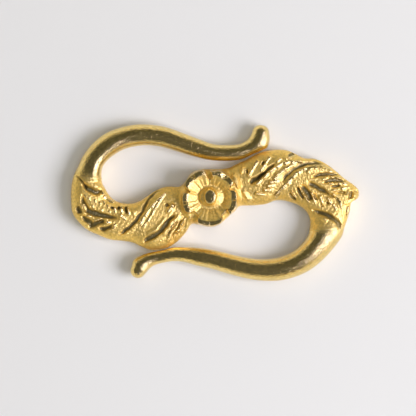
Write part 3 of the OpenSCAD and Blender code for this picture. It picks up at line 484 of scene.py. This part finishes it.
def smooth_rows(rows, steps):
    """The rows of a table with steps[i] smooth rows from row i to the next one."""
    last = len(rows) - 1
    found = []
    for i in range(last):
        a, b, c, d = (rows[min(max(k, 0), last)] for k in (i - 1, i, i + 1, i + 2))
        found += [smooth(a, b, c, d, k / steps[i]) for k in range(steps[i])]
    return np.array(found + [rows[last]])


def ramp(x, low, high):
    """A share that rises smoothly from 0 at low to 1 at high."""
    t = np.clip((x - low) / (high - low), 0, 1)
    return t * t * (3 - 2 * t)


def to_line(p, line):
    """Distance of the points p from a line, below zero on its right, and their share of its way."""
    nearest = np.full(len(p), np.inf)
    share = np.zeros(len(p))
    count = len(line) - 1
    for i in range(count):
        ab, off = line[i + 1] - line[i], p - line[i]
        t = np.clip(off @ ab / (ab @ ab), 0, 1)
        away = np.linalg.norm(off - t[:, None] * ab, axis=1)
        closer = away < np.abs(nearest)
        side = np.where(ab[0] * off[:, 1] - ab[1] * off[:, 0] < 0, -1, 1)
        nearest = np.where(closer, away * side, nearest)
        share = np.where(closer, (i + t) / count, share)
    return nearest, share


def stroke_share(p, stroke):
    """How far the points p are up one stroke: 1 on the flat of its line, 0 past its flanks."""
    left, right, flat, _, points = stroke
    points = np.array(points)
    line = smooth_rows(points, [LINE_STEPS] * (len(points) - 1))
    reach = max(left, right) + flat
    near = np.all((p > line.min(0) - reach) & (p < line.max(0) + reach), axis=1)
    found = np.zeros(len(p))
    away, way = to_line(p[near], line)
    taper = (4 * way * (1 - way)) ** TAPER_POWER
    flank = np.where(away > 0, left, right)
    up = np.clip(1 - (np.abs(away) - flat * taper) / flank, 0, 1)
    found[near] = up * np.clip(HEIGHT_SOONER * taper, 0, 1)
    return found


def scale_height(p, scale):
    """Height of one scale at the points p, which falls from its step to its end."""
    x, y, direction, long, half, fall, slope = scale
    a, f = math.radians(direction), math.radians(fall)
    q = p - np.array([x, y])
    along = q @ np.array([math.cos(a), math.sin(a)])
    off = np.abs(q @ np.array([-math.sin(a), math.cos(a)])) / half
    down = q @ np.array([math.cos(f), math.sin(f)])
    top = slope * max(long * math.cos(a - f), SHORTEST_FALL)
    past_start = ramp(along, -0.08, 0.02)
    before_end = 1 - ramp(along, long - 0.05, long + 0.05)
    between_sides = 1 - ramp(off, 0.8, 1.25)
    return np.clip(top - slope * down, 0, None) * (past_start * before_end * between_sides)


def turn(angle, direction):
    """How far an angle is from a direction, in degrees."""
    return np.abs((angle - direction + 180) % 360 - 180)


def petal_edge(angle):
    """The flower's scalloped edge at an angle: its radius, the share of half a petal, and notches."""
    edge = np.full(len(angle), GAP_R)
    share = np.ones(len(angle))
    notch = np.zeros(len(angle))
    for direction, half, radius, notch_width in PETALS:
        a = turn(angle, direction) / half
        edge = np.maximum(edge, radius - (radius - GAP_R) * np.clip(a, 0, 1.3) ** 6)
        share = np.minimum(share, a)
        notch += np.exp(-(a * half / notch_width) ** 2)
    return edge, share, notch


def flower_height(p):
    """Height of the flower over the bar's face: cupped petals round a low dome with a button.

    Also gives 1 inside the flower's scalloped edge and 0 outside, with a soft step between, and 1 on
    the flat rims and the button."""
    q = p - FLOWER_AT
    r = np.linalg.norm(q, axis=1)
    angle = np.degrees(np.arctan2(q[:, 1], q[:, 0]))
    edge, side, notch = petal_edge(angle)
    from_dome = p - DOME_AT
    oval = np.linalg.norm(from_dome / DOME_R, axis=1)
    past_dome = np.linalg.norm(from_dome, axis=1) * (1 - 1 / np.maximum(oval, 1))
    to_rim = np.clip(edge - RIM_WIDTH * (1 - side ** 4) - r, 0, None)
    out = past_dome / (past_dome + to_rim + 1e-6)
    rise = (RIM_H - CUP_H) * (edge - INNER_R) / FULL_PETAL
    fan = sum(share * np.cos(np.radians(angle) * count) for count, share in FOLDS)
    folds = FOLD_H * np.sin(math.pi * out) * fan
    curl = SIDE_H * out * side ** 2 * (1 - ramp(side, 0.85, 1.0))
    inside = 1 - ramp(r, edge - 0.04, edge + 0.18)
    cut = NOTCH_DEPTH * notch * ramp(r, edge - 0.6, edge - 0.3)
    petals = (CUP_H + rise * out + folds + curl - cut) * inside
    for direction, half, inner, outer in SEPALS:
        a = turn(angle, direction) / half
        sepal = ramp((r - inner) / (outer - inner) - a, 0.0, 0.2)
        sepal *= 1 - ramp(r, outer - 0.1, outer + 0.1)
        petals = np.maximum(petals, SEPAL_H * sepal)
        inside = np.maximum(inside, sepal)
    sloping = np.clip(0.5 + from_dome[:, 0] / 0.8, 0, 1)
    level, cone = np.clip(1 - oval ** 6, 0, 1), np.clip((1.1 - oval) / 0.6, 0, 1)
    dome = DOME_H * ((1 - sloping) * level + sloping * cone)
    from_button = np.linalg.norm(from_dome / BUTTON_R, axis=1)
    button = BUTTON_H * np.sqrt(np.clip(1 - from_button ** 5, 0, 1))
    flat = np.maximum(1 - ramp(to_rim, 0.0, 0.15), from_button < 1) * inside
    disc = DISC_H * (1 - np.clip((r - DISC_R) / DISC_SLOPE, 0, 1))
    return np.maximum(petals, disc) + dome + button, inside, flat


def unevenness(p, wave_len, start):
    """A value that wanders between about -1 and 1 over the points p, with waves near wave_len long."""
    total = np.zeros(len(p))
    for k, direction in enumerate((15, 62, 98, 151)):
        a = math.radians(direction)
        along = p @ np.array([math.cos(a), math.sin(a)])
        total += np.sin(2 * math.pi * along / (wave_len * (1 + 0.17 * k)) + start * (k + 1))
    return total / 2.5


def carving(p):
    """The carving at the points p: its height over the face, 1 in the flower, 1 in a deep groove
    where shade is painted, and 1 on a ridge."""
    flower, inside, flat = flower_height(p)
    strokes, groove_shade, ridge = np.zeros((3, len(p)))
    drift = HAND_DRIFT * np.stack([unevenness(p, DRIFT_WAVE, start) for start in (1, 2)], axis=1)
    for stroke in STROKES:
        share, height = stroke_share(p + drift, stroke), stroke[3]
        strokes += height * share
        # Deep grooves get painted shade, fullest towards their bottoms.
        if height < 0:
            groove_shade = np.maximum(groove_shade, min(-height / FULL_GROOVE, 1) ** 2 * ramp(share, 0.2, 1.0))
        else:
            ridge = np.maximum(ridge, min(height / FULL_RIDGE, 1) * ramp(share, 0.0, 0.3))
    scales = np.zeros(len(p))
    for scale in SCALES:
        scales = np.maximum(scales, scale_height(p, scale))
    strokes += scales
    on_scale = ramp(scales, 0.02, 0.06)
    raised = np.maximum(ridge, on_scale)
    groove_shade *= (1 - raised) * (1 - inside)
    strokes += CAST_H * unevenness(p, CAST_WAVE, 3) * (1 - 0.8 * np.maximum(raised, groove_shade))
    ridge = np.maximum(np.maximum(RIDGE_POLISH * ridge, on_scale) * (1 - inside), flat)
    return flower + strokes * (1 - inside), inside, groove_shade, ridge


def across(t, square):
    """Place across a section, closer together at a round section's edges."""
    even = 0.6 * np.clip(2 * (square - 2), 0, 1)
    return even * t + (1 - even) * np.sin(math.pi / 2 * t)


def fullness(v, square, lean):
    """How full a section is at the place v, from 1 at its highest line to 0 at its edges."""
    u = np.abs(v - lean) / np.where(v > lean, 1 - lean, 1 + lean)
    return np.clip(1 - u ** square, 0, None) ** (1 / square)


def tip_rows(row, way, angles):
    """Sections of the rounded end past a section, at angles into its rounding."""
    middle = (row[0:2] + row[2:4]) / 2
    half = (row[0:2] - row[2:4]) / 2
    found = []
    for angle in angles:
        c = math.cos(angle)
        centre = middle + way * TIP_LEN * math.sin(angle)
        new = row.copy()
        new[0:2] = centre + half * c
        new[2:4] = centre - half * c
        new[BACK] = row[WAIST] - (row[WAIST] - row[BACK]) * c
        new[FACE] = row[WAIST] + (row[FACE] - row[WAIST]) * c
        found.append(new)
    return np.array(found)


def way_of(row):
    """Direction square to a section, along the way."""
    half = row[0:2] - row[2:4]
    return np.array([-half[1], half[0]]) / np.linalg.norm(half)


def all_rows():
    """Every section of the fine skin, from tip to tip."""
    bar = [FIRST_BAR_ROW <= i < LAST_BAR_ROW for i in range(len(STATIONS) - 1)]
    steps = [int(STATIONS[i, RINGS]) * (BAR_FINER if bar[i] else HOOK_FINER) for i in range(len(bar))]
    angles = np.linspace(0, math.pi / 2, TIP_RINGS + 2)[1:-1]
    first = tip_rows(STATIONS[0], -way_of(STATIONS[0]), angles[::-1])
    last = tip_rows(STATIONS[-1], way_of(STATIONS[-1]), angles)
    return np.concatenate([first, smooth_rows(STATIONS, steps), last])


def blurred(relief):
    """The relief evened out over its neighbourhood on the skin."""
    for _ in range(BLUR_STEPS):
        ends = np.pad(relief, 1, mode="edge")
        relief = (ends[:-2, 1:-1] + ends[2:, 1:-1] + ends[1:-1, :-2] + ends[1:-1, 2:]) / 4
    return relief


def skin_points(rows):
    """The points of the skin, each ring from the left edge over the face and back.

    With them come how polished they are, and how much painted shade darkens them."""
    middle = (rows[:, 0:2] + rows[:, 2:4]) / 2
    half = (rows[:, 0:2] - rows[:, 2:4]) / 2
    square = rows[:, SQUARE, None]
    carved = np.clip((square - 2) / (CARVED_SQUARE - 2), 0, 1)
    face_t = np.linspace(-1, 1, FACE_STEPS, endpoint=False)[None, :]
    back_t = np.linspace(1, -1, BACK_STEPS, endpoint=False)[None, :]
    face_v, back_v = across(face_t, square), across(back_t, square)
    face_xy = middle[:, None] + face_v[..., None] * half[:, None]
    back_xy = middle[:, None] + back_v[..., None] * half[:, None]
    found = carving(face_xy.reshape(-1, 2))
    relief, inside, groove_shade, ridge = (values.reshape(face_v.shape) for values in found)
    at_edge = ramp(1 - np.abs(face_v), 0, EDGE_FADE)
    polish = np.ones((len(rows), FACE_STEPS + BACK_STEPS))
    worn = ramp(relief - blurred(relief), 0.0, 0.10) * ramp(relief, 0.05, 0.20) * WORN_POLISH
    polish[:, :FACE_STEPS] = 1 - carved * (1 - np.maximum(worn, ridge))
    # Share of painted shade at each point, on the face only
    painted_shade = np.zeros(polish.shape)
    painted_shade[:, :FACE_STEPS] = carved * groove_shade
    waist, face, back = (rows[:, c, None] for c in (WAIST, FACE, BACK))
    full = fullness(face_v, square, rows[:, LEAN, None])
    face_z = waist + (face - waist) * (full + (1 - full) * inside * at_edge)
    face_z += carved * relief * at_edge
    back_z = waist - (waist - back) * (1 + FLAT_BACK * carved) * fullness(back_v, square, 0)
    face_points = np.concatenate([face_xy, face_z[..., None]], axis=2)
    back_points = np.concatenate([back_xy, np.clip(back_z, 0, None)[..., None]], axis=2)
    return np.concatenate([face_points, back_points], axis=1), polish, painted_shade


def make_casting():
    """The whole clasp as one closed mesh."""
    rings, polish, painted_shade = skin_points(all_rows())
    count, sides = rings.shape[:2]
    vertices = (rings.reshape(-1, 3) * METRES).tolist()
    faces = []
    for r in range(count - 1):
        for i in range(sides):
            a = r * sides + i
            b = r * sides + (i + 1) % sides
            faces.append((a, b, b + sides, a + sides))
    for ring, flip in ((0, True), (count - 1, False)):
        tip = len(vertices)
        vertices.append((rings[ring].mean(0) * METRES).tolist())
        for i in range(sides):
            a, b = ring * sides + i, ring * sides + (i + 1) % sides
            faces.append((b, a, tip) if flip else (a, b, tip))
    mesh = bpy.data.meshes.new("s_hook_casting")
    mesh.from_pydata(vertices, [], faces)
    mesh.shade_smooth()
    # The polish and the painted shade of the grooves go to the mesh as point attributes.
    for name, values, at_tips in (("polish", polish, 1), ("painted_shade", painted_shade, 0)):
        values = np.concatenate([values.ravel(), [at_tips, at_tips]]).astype(np.float32)
        mesh.attributes.new(name, "FLOAT", "POINT").data.foreach_set("value", values)
    casting = bpy.data.objects.new("s_hook_casting", mesh)
    bpy.context.scene.collection.objects.link(casting)
    return casting


def put(tree, socket, value):
    """Gives a node's input a number or a colour, or links another node's output to it."""
    if isinstance(value, bpy.types.NodeSocket):
        tree.links.new(value, socket)
    else:
        socket.default_value = value


def add_node(tree, kind, output, **inputs):
    """The output of a new shader node. A _ in the name of an input stands for a space."""
    node = tree.nodes.new("ShaderNode" + kind)
    for name, value in inputs.items():
        put(tree, node.inputs[name.replace("_", " ")], value)
    return node.outputs[output]


def add_mix(tree, factor, a, b, blend="MIX"):
    """A mix of the colours a and b."""
    node = tree.nodes.new("ShaderNodeMix")
    node.data_type = "RGBA"
    node.blend_type = blend
    for name, value in (("Factor", factor), ("A", a), ("B", b)):
        put(tree, node.inputs[name], value)
    return node.outputs["Result"]


def add_attribute(tree, name):
    """A value that the mesh holds at its points."""
    node = tree.nodes.new("ShaderNodeAttribute")
    node.attribute_name = name
    return node.outputs["Fac"]


def gold():
    """Warm gold plate: polished hooks, and carving left as it was cast, with a fine grain and with shade
    painted into the deep grooves.
    """
    material = bpy.data.materials.new("gold_plate")
    material.use_nodes = True
    tree = material.node_tree
    shader = tree.nodes["Principled BSDF"].inputs
    place = add_node(tree, "TexCoord", "Object")
    polish = add_attribute(tree, "polish")
    rough = add_node(tree, "MapRange", "Result", Value=polish, To_Min=CAST_ROUGH, To_Max=POLISHED_ROUGH)
    metal = add_node(tree, "MapRange", "Result", Value=polish, To_Min=CAST_METALLIC, To_Max=1)
    tint = add_mix(tree, polish, CAST_TINT, POLISHED_TINT)
    # Painted shade: the deep grooves are darkened towards a dark tint.
    tint = add_mix(tree, add_attribute(tree, "painted_shade"), tint, GROOVE_SHADE_TINT)
    mottle = add_node(tree, "TexNoise", "Fac", Vector=place, Scale=MOTTLE_SCALE, Detail=2)
    shade = add_node(tree, "MapRange", "Result", Value=mottle, From_Min=MOTTLE_FROM,
                     From_Max=MOTTLE_TO, To_Min=MOTTLE_SHADE)
    grain = add_node(tree, "TexNoise", "Fac", Vector=place, Scale=GRAIN_SCALE, Detail=2.5)
    depth = add_node(tree, "MapRange", "Result", Value=polish, To_Min=CAST_GRAIN, To_Max=POLISHED_GRAIN)
    put(tree, shader["Metallic"], metal)
    put(tree, shader["Roughness"], rough)
    put(tree, shader["Base Color"], add_mix(tree, 1, tint, shade, "MULTIPLY"))
    bumps = add_node(tree, "Bump", "Normal", Strength=1, Distance=depth, Height=grain)
    put(tree, shader["Normal"], bumps)
    return material


def paper():
    """Pale matt paper under the clasp."""
    material = bpy.data.materials.new("paper")
    material.use_nodes = True
    shader = material.node_tree.nodes["Principled BSDF"]
    shader.inputs["Base Color"].default_value = PAPER_TINT
    shader.inputs["Roughness"].default_value = PAPER_ROUGH
    shader.inputs["Specular IOR Level"].default_value = PAPER_SHINE
    return material


def make_floor():
    """A flat sheet of paper, much wider than the photograph."""
    mesh = bpy.data.meshes.new("floor")
    corners = [(x * PAPER_HALF, y * PAPER_HALF, 0) for x, y in ((-1, -1), (1, -1), (1, 1), (-1, 1))]
    mesh.from_pydata(corners, [], [(0, 1, 2, 3)])
    mesh.materials.append(paper())
    floor = bpy.data.objects.new("floor", mesh)
    bpy.context.scene.collection.objects.link(floor)


def make_world():
    """A studio that is dark overhead and pale round the horizon, as the polished gold mirrors it."""
    world = bpy.data.worlds.new("studio")
    world.use_nodes = True
    nodes, links = world.node_tree.nodes, world.node_tree.links
    place = nodes.new("ShaderNodeTexCoord")
    parts = nodes.new("ShaderNodeSeparateXYZ")
    shades = nodes.new("ShaderNodeValToRGB")
    for element, (position, color) in zip(shades.color_ramp.elements, STUDIO):
        element.position = position
        element.color = color
    links.new(place.outputs["Generated"], parts.inputs["Vector"])
    links.new(parts.outputs["Z"], shades.inputs["Fac"])
    links.new(shades.outputs["Color"], nodes["Background"].inputs["Color"])
    bpy.context.scene.world = world


def make_light(name, azimuth, elevation, distance, size, power, color, mirrored):
    """A square soft light that faces the clasp. It lights what is matt, or if mirrored what shines."""
    data = bpy.data.lights.new(name, "AREA")
    data.size = size
    data.energy = power
    data.color = color
    a, e = math.radians(azimuth), math.radians(elevation)
    light = bpy.data.objects.new(name, data)
    towards = Vector((math.cos(a) * math.cos(e), math.sin(a) * math.cos(e), math.sin(e)))
    light.location = towards * distance
    light.rotation_euler = (-light.location).to_track_quat("-Z", "Y").to_euler()
    light.visible_glossy = mirrored
    light.visible_diffuse = not mirrored
    bpy.context.scene.collection.objects.link(light)


def make_camera():
    """Straight above the clasp, framed as the photograph is."""
    data = bpy.data.cameras.new("camera")
    data.sensor_width = 36
    data.lens = data.sensor_width * CAMERA_FAR / (VIEW_WIDTH * METRES)
    data.clip_end = 5
    camera = bpy.data.objects.new("camera", data)
    camera.location = (VIEW_X * METRES, VIEW_Y * METRES, CAMERA_FAR + VIEW_Z * METRES)
    bpy.context.scene.collection.objects.link(camera)
    bpy.context.scene.camera = camera


make_camera()
make_floor()
make_world()
for light in LIGHTS:
    make_light(*light)
casting = make_casting()
casting.data.materials.append(gold())
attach(casting, "root")
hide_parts("s_hook")
bpy.context.scene.view_settings.view_transform = "Standard"
